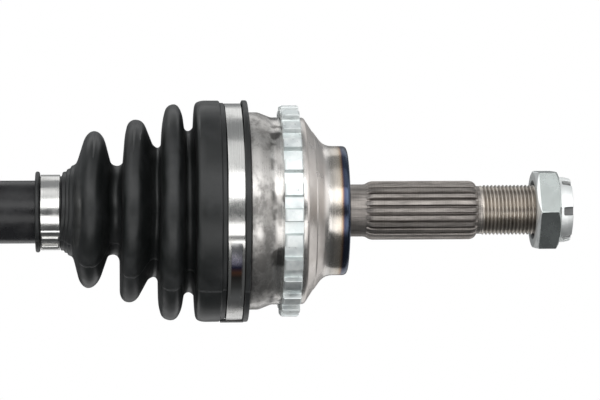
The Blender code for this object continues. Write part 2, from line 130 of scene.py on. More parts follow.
def make_world():
    """White behind the object; for light and reflections, a dim grey that is darker below the horizon."""
    world = bpy.data.worlds.new("studio")
    bpy.context.scene.world = world
    world.use_nodes = True
    tree = world.node_tree
    tree.nodes.clear()
    out = tree.nodes.new("ShaderNodeOutputWorld")
    seen = tree.nodes.new("ShaderNodeBackground")
    lit = tree.nodes.new("ShaderNodeBackground")
    seen.inputs["Color"].default_value = (1.0, 1.0, 1.0, 1.0)
    direction = tree.nodes.new("ShaderNodeTexCoord")
    split = tree.nodes.new("ShaderNodeSeparateXYZ")
    fade = tree.nodes.new("ShaderNodeMapRange")
    fade.interpolation_type = "SMOOTHSTEP"
    for socket, value in (("From Min", -0.25), ("From Max", 0.55), ("To Min", 0.10), ("To Max", 0.34)):
        fade.inputs[socket].default_value = value
    mix = tree.nodes.new("ShaderNodeMixShader")
    path = tree.nodes.new("ShaderNodeLightPath")
    tree.links.new(direction.outputs["Generated"], split.inputs[0])
    tree.links.new(split.outputs["Z"], fade.inputs["Value"])
    tree.links.new(fade.outputs["Result"], lit.inputs["Strength"])
    lit.inputs["Color"].default_value = (0.95, 0.98, 1.0, 1.0)
    tree.links.new(path.outputs["Is Camera Ray"], mix.inputs["Fac"])
    tree.links.new(lit.outputs[0], mix.inputs[1])
    tree.links.new(seen.outputs[0], mix.inputs[2])
    tree.links.new(mix.outputs[0], out.inputs[0])


def make_floor():
    mesh = bpy.data.meshes.new("floor")
    bm = bmesh.new()
    bmesh.ops.create_circle(bm, cap_ends=True, segments=96, radius=FLOOR_RADIUS)
    bm.to_mesh(mesh)
    bm.free()
    floor = bpy.data.objects.new("floor", mesh)
    bpy.context.scene.collection.objects.link(floor)
    floor.location.z = FLOOR_LEVEL
    look = bpy.data.materials.new("pale_floor")
    look.use_nodes = True
    shader = look.node_tree.nodes["Principled BSDF"]
    shader.inputs["Base Color"].default_value = (0.82, 0.82, 0.82, 1.0)
    shader.inputs["Roughness"].default_value = 0.9
    shader.inputs["Emission Color"].default_value = (1.0, 1.0, 1.0, 1.0)
    shader.inputs["Emission Strength"].default_value = 0.55
    mesh.materials.append(look)
    floor.visible_glossy = False


def make_studio():
    bpy.context.scene.view_settings.view_transform = "Standard"
    make_camera()
    make_world()
    make_floor()
    softbox("upper_front", 27, 0, 1.0, 2.0, 0.50, 2.2)
    softbox("high_front", 62, 0, 1.0, 2.0, 0.62, 0.56)
    softbox("lower_front", -24, 0, 0.9, 2.0, 0.40, 1.9)
    softbox("upper_back", 50, 180, 1.2, 1.8, 0.60, 0.75)
    softbox("lower_back", -38, 180, 1.2, 1.8, 0.70, 0.75)
    softbox("behind_wheel", -4, 122, 1.2, 1.0, 0.9, 0.75)
    softbox("wheel_end", 15, 72, 1.2, 0.9, 0.9, 0.9)
    softbox("high_left", 52, -58, 1.2, 1.0, 0.9, 0.6)
    softbox("gearbox_end", 8, -64, 1.2, 1.0, 1.0, 0.8)


# ---------------------------------------------------------------- materials


class Surface:
    """A procedural material: short calls that add a node and give back its output."""

    def __init__(self, name, roughness=0.4, metallic=0.0, **sockets):
        self.material = bpy.data.materials.new(name)
        self.material.use_nodes = True
        self.tree = self.material.node_tree
        self.shader = self.tree.nodes["Principled BSDF"]
        self.shader.inputs["Roughness"].default_value = roughness
        self.shader.inputs["Metallic"].default_value = metallic
        for socket, value in sockets.items():
            self.shader.inputs[socket.replace("_", " ")].default_value = value
        coordinates = self.tree.nodes.new("ShaderNodeTexCoord")
        self.place = coordinates.outputs["Object"]
        split = self.tree.nodes.new("ShaderNodeSeparateXYZ")
        self.tree.links.new(self.place, split.inputs[0])
        self.x, self.y, self.z = split.outputs

    def put(self, value, socket):
        if isinstance(value, bpy.types.NodeSocket):
            self.tree.links.new(value, socket)
        else:
            socket.default_value = value

    def math(self, operation, a, b=0.0, clamp=False):
        node = self.tree.nodes.new("ShaderNodeMath")
        node.operation = operation
        node.use_clamp = clamp
        self.put(a, node.inputs[0])
        self.put(b, node.inputs[1])
        return node.outputs[0]

    def noise(self, scale, detail=3.0, vector=None, roughness=0.5):
        """Cloudy noise, scale in features per metre."""
        node = self.tree.nodes.new("ShaderNodeTexNoise")
        self.put(self.place if vector is None else vector, node.inputs["Vector"])
        node.inputs["Scale"].default_value = scale
        node.inputs["Detail"].default_value = detail
        node.inputs["Roughness"].default_value = roughness
        return node.outputs["Fac"]

    def rings(self, scale, detail=2.0, waver=0.0):
        """Noise that changes along the axle only, as a turning tool leaves it."""
        node = self.tree.nodes.new("ShaderNodeTexNoise")
        node.noise_dimensions = "1D"
        at = self.math("MULTIPLY", self.x, scale)
        if waver:
            at = self.math("ADD", at, self.math("MULTIPLY", self.noise(90, 1.0), waver))
        self.put(at, node.inputs["W"])
        node.inputs["Scale"].default_value = 1.0
        node.inputs["Detail"].default_value = detail
        return node.outputs["Fac"]

    def stretched(self, along, across):
        """Coordinates for noise drawn out round the axle: fine along it, coarse across."""
        join = self.tree.nodes.new("ShaderNodeCombineXYZ")
        self.put(self.math("MULTIPLY", self.x, along), join.inputs[0])
        self.put(self.math("MULTIPLY", self.y, across), join.inputs[1])
        self.put(self.math("MULTIPLY", self.z, across), join.inputs[2])
        return join.outputs[0]

    def window(self, value, low, high, to_low=0.0, to_high=1.0):
        node = self.tree.nodes.new("ShaderNodeMapRange")
        node.interpolation_type = "SMOOTHSTEP"
        self.put(value, node.inputs["Value"])
        node.inputs["From Min"].default_value = low
        node.inputs["From Max"].default_value = high
        node.inputs["To Min"].default_value = to_low
        node.inputs["To Max"].default_value = to_high
        return node.outputs["Result"]

    def band(self, low, rise_end, fall_start, high):
        """1 on a stretch of the axle and 0 off it, given in mm, with soft ends."""
        rise = self.window(self.x, low * MM, rise_end * MM)
        return self.math("MULTIPLY", rise, self.window(self.x, fall_start * MM, high * MM, 1.0, 0.0))

    def ramp(self, value, stops):
        node = self.tree.nodes.new("ShaderNodeValToRGB")
        self.put(value, node.inputs[0])
        elements = node.color_ramp.elements
        while len(elements) < len(stops):
            elements.new(0.5)
        for element, (position, colour) in zip(elements, stops, strict=True):
            element.position = position
            element.color = (*colour, 1.0)
        return node.outputs["Color"]

    def mix(self, factor, a, b, blend="MIX"):
        node = self.tree.nodes.new("ShaderNodeMix")
        node.data_type = "RGBA"
        node.blend_type = blend
        self.put(factor, node.inputs[0])
        self.put((*a, 1.0) if isinstance(a, tuple) else a, node.inputs[6])
        self.put((*b, 1.0) if isinstance(b, tuple) else b, node.inputs[7])
        return node.outputs[2]

    def bump(self, height, distance, strength=1.0, after=None):
        node = self.tree.nodes.new("ShaderNodeBump")
        node.inputs["Strength"].default_value = strength
        node.inputs["Distance"].default_value = distance
        self.put(height, node.inputs["Height"])
        if after is not None:
            self.put(after, node.inputs["Normal"])
        return node.outputs[0]

    def finish(self, colour=None, roughness=None, normal=None):
        for value, socket in ((colour, "Base Color"), (roughness, "Roughness"), (normal, "Normal")):
            if value is not None:
                self.put(value, self.shader.inputs[socket])
        return self.material

    def radius(self):
        squares = self.math("ADD", self.math("POWER", self.y, 2.0), self.math("POWER", self.z, 2.0))
        return self.math("SQRT", squares)


def turned_steel(
    name,
    light,
    dark,
    rough=(0.14, 0.34),
    tint=None,
    grime=0.30,
    wavy=0.35,
    grooves=None,
    neck=None,
    streaked=False,
):
    """Lathe-turned forged steel: fine rings, broad bands, oily smudges and a heat tint where one is given.

    neck is (the end of the scuffed part, the start of the smoothly turned part); streaked steel has its
    tone drawn along the axle in place of round it.
    """
    s = Surface(name, metallic=1.0)
    fine = s.rings(3400, 2.0, waver=0.25)
    if streaked:
        broad = s.noise(900, 4.0, s.stretched(0.09, 1.0), 0.7)
    else:
        broad = s.rings(240, 3.0, waver=0.6)
    smudge = s.noise(95, 5.0, roughness=0.62)
    wide = s.noise(42, 2.0)
    specks = s.noise(700, 3.0, s.stretched(1.0, 0.5))
    tone = s.math("ADD", s.math("MULTIPLY", fine, 0.25), s.math("MULTIPLY", broad, 0.75))
    colour = s.mix(s.window(tone, 0.30, 0.70), dark, light)
    stain = s.window(smudge, 0.50, 0.78, 0.0, grime)
    colour = s.mix(stain, colour, (0.24, 0.22, 0.20))
    colour = s.mix(s.window(specks, 0.64, 0.76, 0.0, 0.3), colour, (0.12, 0.11, 0.10))
    if neck:
        scuffed, smooth = neck
        even = s.band(smooth, smooth + 1.5, smooth + 8.0, smooth + 11.0)
        colour = s.mix(s.math("MULTIPLY", even, 0.75), colour, (0.86, 0.80, 0.76))
    if tint:
        start, end = tint
        share = s.math("ADD", s.window(s.x, start * MM, end * MM), s.math("MULTIPLY", smudge, 0.08))
        temper = s.ramp(
            share,
            (
                (0.0, (1.0, 1.0, 1.0)),
                (0.14, (0.74, 0.72, 0.69)),
                (0.66, (0.68, 0.62, 0.54)),
                (0.80, (0.46, 0.34, 0.24)),
                (0.85, (0.20, 0.13, 0.12)),
                (0.91, (0.06, 0.07, 0.13)),
                (1.0, (0.09, 0.12, 0.19)),
            ),
        )
        colour = s.mix(1.0, colour, temper, "MULTIPLY")
    roughness = s.window(s.math("ADD", smudge, s.math("MULTIPLY", fine, 0.3)), 0.4, 0.9, *rough)
    if grooves:
        start, end, root, tip, depth = grooves
        # painted shade: the groove roots between root and tip radius are darkened
        groove_painted_shade = s.window(s.radius(), root * MM, tip * MM, depth, 0.0)
        groove_painted_shade = s.math("MULTIPLY", groove_painted_shade, s.band(start, start + 1.0, end - 1.0, end))
        colour = s.mix(groove_painted_shade, colour, (0.07, 0.06, 0.055))
    if neck:
        matte = s.window(s.x, scuffed * MM, (scuffed + 2.0) * MM, 1.0, 0.0)
        rubbed = s.noise(150, 5.0, s.stretched(1.0, 0.7), 0.7)
        dulled = s.math("MULTIPLY", matte, s.window(rubbed, 0.44, 0.62, 0.32, 0.85))
        colour = s.mix(dulled, colour, (0.24, 0.23, 0.22))
        coarser = s.math("MULTIPLY", matte, s.window(rubbed, 0.35, 0.6, 0.06, 0.26))
        roughness = s.math("ADD", roughness, coarser)
        roughness = s.math("ADD", roughness, s.math("MULTIPLY", even, 0.10))
        strip = s.band(scuffed - 2.0, scuffed, smooth - 7.0, smooth - 5.0)
        burnt = s.window(s.noise(110, 2.0, roughness=0.5), 0.50, 0.60, 0.0, 0.80)
        colour = s.mix(s.math("MULTIPLY", strip, burnt), colour, (0.075, 0.07, 0.065))
        wide = s.math("MULTIPLY", wide, s.math("SUBTRACT", 1.0, s.math("MULTIPLY", even, 0.75)))
    normal = s.bump(fine, 0.00003, 0.35)
    normal = s.bump(smudge, 0.0003, 0.14, normal)
    normal = s.bump(wide, 0.0016, wavy, normal)
    return s.finish(colour, roughness, normal)


def zinc_plate(name, light, dark, rough, dirt, recess=None, flanks=None, flats=None):
    """Bright zinc with a faint blue-green cast, clouded, with specks of dirt; painted shade on the tooth
    flanks and inside the recess radius.

    flats gives the ends of the hexagon along the axle: the faces beyond them get a painted highlight, paler
    and more matt.
    """
    s = Surface(name, metallic=1.0)
    cloud = s.noise(160, 5.0, roughness=0.6)
    grain = s.noise(2600, 2.0)
    colour = s.mix(s.window(cloud, 0.32, 0.68), dark, light)
    dust = s.window(s.noise(420, 4.0, roughness=0.7), 0.60, 0.72, 0.0, dirt)
    colour = s.mix(dust, colour, (0.16, 0.16, 0.15))
    if flanks:
        root, tip = flanks
        # painted shade: the tooth flanks between gap and tip radius are darkened, as shade between the teeth
        above = s.window(s.radius(), root * MM, (root + 0.15) * MM)
        below = s.window(s.radius(), (tip - 0.3) * MM, tip * MM, 0.35, 0.0)
        colour = s.mix(s.math("MULTIPLY", above, below), colour, (0.10, 0.11, 0.11))
    roughness = s.window(cloud, 0.3, 0.7, *rough)
    if flats:
        first, last = flats
        # painted highlight: the faces beyond the hexagon's ends are made paler, and rougher
        before = s.window(s.x, (first - 0.4) * MM, first * MM, 1.0, 0.0)
        painted_end_highlight = s.math("ADD", before, s.window(s.x, last * MM, (last + 0.4) * MM))
        colour = s.mix(painted_end_highlight, colour, (0.95, 0.97, 0.96))
        roughness = s.math("ADD", roughness, s.math("MULTIPLY", painted_end_highlight, 0.25))
    if recess:
        # painted shade: slot floors and bore inside the recess radius are darkened to near black
        recess_painted_shade = s.window(s.radius(), recess * MM, (recess + 0.8) * MM, 0.85, 0.0)
        colour = s.mix(recess_painted_shade, colour, (0.05, 0.05, 0.05))
    normal = s.bump(grain, 0.00004, 0.35)
    normal = s.bump(cloud, 0.0004, 0.10, normal)
    return s.finish(colour, roughness, normal)


def black_paint(name):
    s = Surface(name, metallic=0.0, Specular_IOR_Level=0.35)
    peel = s.noise(420, 2.0)
    scuff = s.noise(60, 6.0, roughness=0.7)
    colour = s.mix(s.window(scuff, 0.45, 0.75), (0.008, 0.008, 0.009), (0.022, 0.022, 0.023))
    roughness = s.window(scuff, 0.3, 0.7, 0.20, 0.38)
    normal = s.bump(peel, 0.0003, 0.22)
    return s.finish(colour, roughness, normal)


def boot_rubber(name):
    """Moulded black rubber with a satin skin, faint dust and a mould parting line along one side."""
    s = Surface(name, metallic=0.0, Specular_IOR_Level=0.45)
    skin = s.noise(1500, 3.0, roughness=0.6)
    dust = s.noise(70, 6.0, roughness=0.65)
    flow = s.noise(55, 3.0, s.stretched(1.0, 3.0))
    colour = s.mix(s.window(dust, 0.42, 0.72), (0.006, 0.007, 0.007), (0.016, 0.017, 0.0175))
    angle = s.math("ARCTAN2", s.math("MULTIPLY", s.z, -1.0), s.math("MULTIPLY", s.y, -1.0))
    offset = s.math("ABSOLUTE", s.math("SUBTRACT", angle, math.radians(45)))
    distance = s.math("MULTIPLY", offset, s.radius())
    seam = s.window(distance, 0.00015, 0.00055, 1.0, 0.0)
    colour = s.mix(s.math("MULTIPLY", seam, 0.22), colour, (0.05, 0.052, 0.053))
    roughness = s.window(s.math("ADD", dust, s.math("MULTIPLY", flow, 0.5)), 0.55, 1.0, 0.34, 0.50)
    normal = s.bump(skin, 0.00006, 0.30)
    normal = s.bump(seam, 0.00025, 0.7, normal)
    return s.finish(colour, roughness, normal)


def clamp_steel(name, window=None, painted_shadow=False):
    """Bright rolled strip, or a cut end painted near black as shadow. The window is the ends of a pressed
    pocket's floor, which gets a painted reflection in bands of colour round the axle.
    """
    s = Surface(name, metallic=1.0)
    lines = s.rings(5200, 2.0, waver=0.5)
    cloud = s.noise(140, 4.0, roughness=0.6)
    colour = s.mix(s.window(lines, 0.3, 0.7), (0.56, 0.555, 0.54), (0.75, 0.745, 0.725))
    colour = s.mix(s.window(cloud, 0.54, 0.78, 0.0, 0.3), colour, (0.30, 0.28, 0.26))
    # painted shadow: the cut end is made near black, as the shade on the turned-up end
    if painted_shadow:
        colour = s.mix(0.85, colour, (0.06, 0.06, 0.06))
    if window:
        start, end = window
        below = s.math("ARCTAN2", s.math("MULTIPLY", s.z, -1.0), s.math("MULTIPLY", s.y, -1.0))
        along = s.window(below, POCKET_FROM, POCKET_TO)
        # painted reflection: bands of colour by angle round the axle stand in for what the flat pocket floor
        # reflects
        pocket_painted_reflection = s.ramp(
            along,
            (
                (0.0, (0.80, 0.80, 0.80)),
                (0.20, (0.72, 0.68, 0.86)),
                (0.32, (0.07, 0.07, 0.16)),
                (0.44, (0.36, 0.17, 0.11)),
                (0.56, (0.12, 0.11, 0.10)),
                (0.80, (0.26, 0.26, 0.25)),
                (1.0, (0.70, 0.70, 0.69)),
            ),
        )
        inside = s.band(start, start + 0.3, end - 0.3, end)
        inside = s.math("MULTIPLY", inside, s.window(below, POCKET_FROM - 0.01, POCKET_FROM + 0.03))
        inside = s.math("MULTIPLY", inside, s.window(below, POCKET_TO - 0.03, POCKET_TO + 0.01, 1.0, 0.0))
        colour = s.mix(inside, colour, pocket_painted_reflection)
    roughness = s.window(cloud, 0.3, 0.7, 0.14, 0.28)
    normal = s.bump(lines, 0.00003, 0.4)
    return s.finish(colour, roughness, normal)


def bearing_steel(name):
    s = Surface(name, metallic=1.0)
    grease = s.noise(130, 4.0, roughness=0.6)
    colour = s.mix(s.window(grease, 0.45, 0.7), (0.62, 0.62, 0.63), (0.42, 0.40, 0.36))
    roughness = s.window(grease, 0.35, 0.7, 0.12, 0.34)
    normal = s.bump(s.noise(2200, 2.0), 0.00002, 0.3)
    return s.finish(colour, roughness, normal)


LOOKS = {
    "housing": turned_steel(
        "housing_steel", (0.84, 0.82, 0.80), (0.64, 0.62, 0.60), tint=(WHEEL + 31.0, WHEEL + 39.4),
        neck=(WHEEL + 9.5, WHEEL + 21.4),
    ),
    "stub": turned_steel(
        "stub_steel", (0.45, 0.415, 0.385), (0.18, 0.165, 0.155), (0.44, 0.60), grime=0.4, wavy=0.0,
        grooves=(WHEEL + SPLINE_START + 0.5, WHEEL + SPLINE_END, 10.45, 11.3, 0.6), streaked=True,
    ),
    "thread": turned_steel(
        "thread_steel", (0.66, 0.61, 0.55), (0.44, 0.40, 0.355), (0.26, 0.40), wavy=0.0,
        grooves=(WHEEL + THREAD_START, WHEEL + THREAD_END, 9.05, 9.6, 0.42),
    ),
    "tulip": turned_steel("tulip_steel", (0.70, 0.68, 0.66), (0.46, 0.45, 0.43)),
    "ring_zinc": zinc_plate(
        "ring_zinc", (0.93, 0.96, 0.95), (0.74, 0.79, 0.79), (0.44, 0.60), 0.5,
        flanks=(RING_GAP_R + 0.2, RING_TIP_R - 0.2),
    ),
    "nut_zinc": zinc_plate(
        "nut_zinc", (0.58, 0.62, 0.605), (0.54, 0.575, 0.56), (0.22, 0.30), 0.15, recess=11.2,
        flats=(WHEEL + NUT_FACE + 1.5, WHEEL + NUT_FACE + NUT_HEX_LENGTH - 0.1),
    ),
    "paint": black_paint("shaft_paint"),
    "rubber": boot_rubber("boot_rubber"),
    "clamp": clamp_steel("clamp_steel"),
    "pocket_clamp": clamp_steel(
        "pocket_clamp_steel", (WHEEL + LARGE_CLAMP[0] + POCKET_RIM, WHEEL + LARGE_CLAMP[1] - POCKET_RIM)
    ),
    "clamp_edge": clamp_steel("clamp_edge_steel", painted_shadow=True),
    "bearing": bearing_steel("bearing_steel"),
}


# ---------------------------------------------------------------- mesh tools


def rounded(points, steps=5):
    """The outline with each (x, r, fillet) corner replaced by an arc-like curve of that reach."""
    out = []
    for i, point in enumerate(points):
        x, r, *reach = point
        if not reach or i in (0, len(points) - 1):
            out.append((x, r))
            continue
        here = Vector((x, r))
        before = Vector(points[i - 1][:2]) - here
        after = Vector(points[i + 1][:2]) - here
        a = here + before.normalized() * min(reach[0], before.length * 0.5)
        b = here + after.normalized() * min(reach[0], after.length * 0.5)
        for k in range(steps + 1):
            t = k / steps
            spot = a * (1 - t) ** 2 + here * 2 * t * (1 - t) + b * t**2
            out.append((spot.x, spot.y))
    return out


def swept(name, outline, centre, segments=128, closed=True, shape=None, sharp=32.0, start=0.0):
    """The outline turned round the axle into a closed surface; shape(x, r, angle) moves each (x, r)."""
    angles = start + np.arange(segments) * 2 * math.pi / segments
    verts, rows = [], []
    for x, r in outline:
        if r < 1e-9:
            rows.append([len(verts)])
            verts.append(((centre + x) * MM, 0.0, 0.0))
            continue
        first = len(verts)
        for angle in angles:
            at_x, at_r = shape(x, r, angle) if shape else (x, r)
            verts.append(((centre + at_x) * MM, at_r * math.cos(angle) * MM, at_r * math.sin(angle) * MM))
        rows.append(list(range(first, first + segments)))
    faces = []
    pairs = list(zip(rows, rows[1:], strict=False))
    if closed:
        pairs.append((rows[-1], rows[0]))
    for a, b in pairs:
        if len(a) == 1 and len(b) == 1:
            continue
        for k in range(segments):
            n = (k + 1) % segments
            if len(a) == 1:
                faces.append((a[0], b[k], b[n]))
            elif len(b) == 1:
                faces.append((a[n], a[k], b[0]))
            else:
                faces.append((a[n], a[k], b[k], b[n]))
    mesh = bpy.data.meshes.new(name)
    mesh.from_pydata(verts, [], faces)
    return place(name, mesh, sharp)


def place(name, mesh, sharp=32.0):
    """Link a mesh, turn all its faces outwards and shade it."""
    bm = bmesh.new()
    bm.from_mesh(mesh)
    bmesh.ops.recalc_face_normals(bm, faces=bm.faces)
    bm.to_mesh(mesh)
    bm.free()
    mesh.shade_smooth()
    mesh.set_sharp_from_angle(angle=math.radians(sharp))
    obj = bpy.data.objects.new(name, mesh)
    bpy.context.scene.collection.objects.link(obj)
    return obj


def dress(obj, look, body=None, replaces=()):
    obj.data.materials.clear()
    obj.data.materials.append(LOOKS[look])
    if body:
        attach(obj, body)
    if replaces:
        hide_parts(*replaces)
    return obj


def cut(obj, cutters, operation="DIFFERENCE"):
    """Apply exact booleans one after another, and drop the cutters."""
    for cutter in cutters:
        modifier = obj.modifiers.new("cut", "BOOLEAN")
        modifier.operation = operation
        modifier.solver = "EXACT"
        modifier.object = cutter
    bpy.context.view_layer.update()
    made = bpy.data.meshes.new_from_object(obj.evaluated_get(bpy.context.evaluated_depsgraph_get()))
    obj.modifiers.clear()
    obj.data = made
    made.shade_smooth()
    made.set_sharp_from_angle(angle=math.radians(32))
    for cutter in cutters:
        bpy.data.objects.remove(cutter, do_unlink=True)
    return obj


def arc(radius, start, end, points):
    angles = [math.radians(start + (end - start) * i / (points - 1)) for i in range(points)]
    return [(radius * math.sin(a), radius * math.cos(a)) for a in angles]


def round_axle(angle, x, r=0.0):
    """A frame at a point round the axle, Z outwards and X along the axle; the angle runs from +Y to +Z."""
    turn = Matrix.Rotation(angle - math.pi / 2, 4, "X")
    return Matrix.Translation((x * MM, 0.0, 0.0)) @ turn @ Matrix.Translation((0.0, 0.0, r * MM))


def block(name, size, matrix, bevel=0.0, segments=3):
    bm = bmesh.new()
    bmesh.ops.create_cube(bm, size=1.0)
    bmesh.ops.scale(bm, vec=Vector(size) * MM, verts=bm.verts)
    if bevel:
        bmesh.ops.bevel(
            bm, geom=bm.edges[:], offset=bevel * MM, segments=segments, profile=0.5, affect="EDGES"
        )
    bm.transform(matrix)
    mesh = bpy.data.meshes.new(name)
    bm.to_mesh(mesh)
    bm.free()
    return place(name, mesh)


def rod(name, radius, length, matrix, sides=48):
    bm = bmesh.new()
    bmesh.ops.create_cone(
        bm, cap_ends=True, segments=sides, radius1=radius * MM, radius2=radius * MM, depth=length * MM
    )
    bm.transform(matrix)
    mesh = bpy.data.meshes.new(name)
    bm.to_mesh(mesh)
    bm.free()
    return place(name, mesh)


def wave(phase, rise):
    """A flat-topped tooth between 0 and 1: up for half of each turn of phase, with sloping flanks."""
    t = abs((phase % 1.0) - 0.5) * 2.0
    return min(1.0, max(0.0, (0.5 - t) / rise + 0.5))


# ---------------------------------------------------------------- wheel end


def ball_track_cutters():
    """Bent tubes of the same size as the CAD tracks, about the wheel joint's centre."""
    sides, cutters = 28, []
    path = arc(BALL_PITCH_R, -48, 48, 25)
    for i in range(BALLS):
        place_at = round_axle(2 * math.pi * i / BALLS, WHEEL)
        bm = bmesh.new()
        loops = []
        for x, r in path:
            lean = math.atan2(x, r)
            loop = []
            for k in range(sides):
                a = 2 * math.pi * k / sides
                out = r + TRACK_R * math.cos(a) * math.cos(lean)
                along = x + TRACK_R * math.cos(a) * math.sin(lean)
                loop.append(bm.verts.new(Vector((along, TRACK_R * math.sin(a), out)) * MM))
            loops.append(loop)
        for a, b in zip(loops, loops[1:], strict=False):
            for k in range(sides):
                n = (k + 1) % sides
                bm.faces.new((a[k], a[n], b[n], b[k]))
        bm.faces.new(loops[0])
        bm.faces.new(list(reversed(loops[-1])))
        bm.transform(place_at)
        mesh = bpy.data.meshes.new("track")
        bm.to_mesh(mesh)
        bm.free()
        cutters.append(place("track", mesh))
    return cutters


def make_bell():
    outside = rounded(
        [
            (SHOULDER, 0.0),
            (SHOULDER, 25.5, 1.9),
            (30.9, 25.5, 3.4),
            (26.9, 31.0, 0.2),
            (26.4, 31.4, 0.2),
            (22.9, 36.8, 0.8),
            (21.0, 36.8, 0.15),
            (21.0, 36.5),
            (13.3, 36.5),
            (13.3, 36.9, 0.15),
            (10.0, 36.9, 0.6),
            (5.0, 38.9, 0.8),
            (1.0, 38.9, 0.4),
            (1.0, 37.4),
            (-16.2, 37.4, 0.8),
            (-17.0, 35.6, 0.3),
            (-10.0, 27.75),
        ]
    )
    cavity = [*arc(29.5, -18, 48.2, 18), (22.0, 0.0)]
    bell = swept("bell", [*outside, *cavity], WHEEL, segments=144, closed=False)
    cut(bell, ball_track_cutters())
    dress(bell, "housing", "bell", ["outboard_housing"])


def make_spline():
    """The splined length of the stub, a closed piece that starts inside the hub."""
    step = 0.8
    count = int((88.6 - 49.6) / step)
    crest = [(88.6 - i * step, SPLINE_TIP_R) for i in range(count + 1)]
    splined = [
        (93.4, 0.0),
        (93.4, 9.45),
        (91.6, 9.45),
        (91.3, 9.9),
        (90.9, 10.6),
        (90.1, 11.2),
        (89.2, 11.5),
        *crest,
        (49.0, 11.3),
        (47.4, 10.45),
        (46.4, 10.3),
        (41.6, 10.3),
        (40.7, 10.6),
        (40.1, 11.2),
        (39.2, 11.6),
        (39.2, 0.0),
    ]

    def teeth(x, r, angle):
        if x < SPLINE_START or x > SPLINE_END or r < 9.5:
            return x, r
        groove = abs((angle * SPLINE_TEETH / (2 * math.pi)) % 1.0 - 0.5)
        up = min(1.0, max(0.0, (groove - 0.09) / 0.14))
        crown = 0.10 * math.cos((x - 69.0) / 20.0)
        depth = (SPLINE_TIP_R - SPLINE_ROOT_R) * (1.0 - up)
        return x, min(r, SPLINE_TIP_R - 0.05 + crown * 0.5) - min(depth, max(0.0, r - 10.0))

    segments = SPLINE_TEETH * 12
    spline = swept("stub_spline", splined, WHEEL, segments, closed=False, shape=teeth, sharp=28)
    dress(spline, "stub", "bell")


def make_thread():
    """The threaded length of the stub, a closed piece that starts inside the splined one."""
    pitch_step = THREAD_PITCH / 8
    count = int((THREAD_END - 1.0 - THREAD_START) / pitch_step)
    crest = [(THREAD_END - 1.0 - i * pitch_step, THREAD_R) for i in range(count + 1)]
    foot = THREAD_START - 0.2
    threaded = [(THREAD_END, 0.0), (THREAD_END, 8.7), *crest, (foot, 9.45), (foot, 0.0)]

    def groove(x, r, angle):
        if r < THREAD_R - 0.01:
            return x, r
        turn = (x / THREAD_PITCH - angle / (2 * math.pi)) % 1.0
        up = min(1.0, max(0.0, (abs(turn - 0.5) * 2.0 - 0.08) / 0.78))
        fade = min(1.0, (x - THREAD_START) / 1.6, (THREAD_END - x) / 1.6)
        return x, r - THREAD_DEPTH * (1.0 - up) * max(0.0, fade) - 0.35 * (1.0 - max(0.0, fade))

    thread = swept("stub_thread", threaded, WHEEL, segments=84, closed=False, shape=groove, sharp=60)
    dress(thread, "thread", "bell")


def make_abs_ring():
    start, end, tip, bore = RING_START, RING_END, RING_TIP_R, RING_BORE_R
    outline = [
        (end, bore + 0.3),
        (end, tip - 0.45),
        (end - 0.45, tip),
        (start + 0.8, tip),
        (start, tip - 0.5),
        (start, bore + 0.3),
        (start + 0.3, bore),
        (end - 0.3, bore),
    ]

    def teeth(x, r, angle):
        if r < RING_GAP_R:
            return x, r
        up = wave(angle * RING_TEETH / (2 * math.pi) + 0.35, 0.07)
        return x, RING_GAP_R + (r - RING_GAP_R) * up

    ring = swept("abs_ring_teeth", outline, WHEEL, segments=RING_TEETH * 16, shape=teeth, sharp=30)
    dress(ring, "ring_zinc", "bell", ["abs_ring"])


def make_hub_nut():
    corner = NUT_FLATS / 2 / math.cos(math.pi / 6)
    hex_end = NUT_FACE + NUT_HEX_LENGTH
    end = NUT_FACE + NUT_LENGTH
    outline = rounded(
        [
            (end, 10.6),
            (end, 12.3, 0.4),
            (end - 2.6, 12.9, 0.8),
            (hex_end, 12.9, 0.3),
            (hex_end, 14.5, 0.2),
            (hex_end - 1.6, corner + 0.1),
            (NUT_FACE + 1.5, corner + 0.1),
            (NUT_FACE, 14.7, 0.2),
            (NUT_FACE, 10.6),
            (NUT_FACE + 0.5, 10.15),
            (end - 0.5, 10.15),
        ]
    )
    nut = swept("nut", outline, WHEEL, segments=120)
    hexagon = rod(
        "hexagon",
        corner,
        80.0,
        Matrix.Translation(((WHEEL + NUT_FACE) * MM, 0, 0))
        @ Matrix.Rotation(NUT_TURN, 4, "X")
        @ Matrix.Rotation(math.pi / 2, 4, "Y"),
        sides=6,
    )
    cut(nut, [hexagon], "INTERSECT")
    slots = []
    for i in range(NUT_SLOTS):
        spot = round_axle(CAMERA_SIDE + NUT_TURN + i * 2 * math.pi / NUT_SLOTS, WHEEL + end, 14.0)
        slots.append(block("slot", (7.6, 3.3, 6.0), spot, bevel=0.6))
    cut(nut, slots)
    bevel = nut.modifiers.new("edges", "BEVEL")
    bevel.width = 0.22 * MM
    bevel.segments = 2
    bevel.limit_method = "ANGLE"
    bevel.angle_limit = math.radians(32)
    dress(nut, "nut_zinc", "nut", ["hub_nut"])


def between(value, low, high, ease):
    """1 between low and high, 0 outside them, rising and falling over a length of ease."""
    return min(1.0, max(0.0, (value - low) / ease)) * min(1.0, max(0.0, (high - value) / ease))


def uneven(x, angle, size, seed):
    """Slow waviness of moulded rubber or rolled strip, in mm."""
    spot = Vector((x * 0.05 + seed, math.cos(angle) * 1.3, math.sin(angle) * 1.3))
    return size * noise.noise(spot)


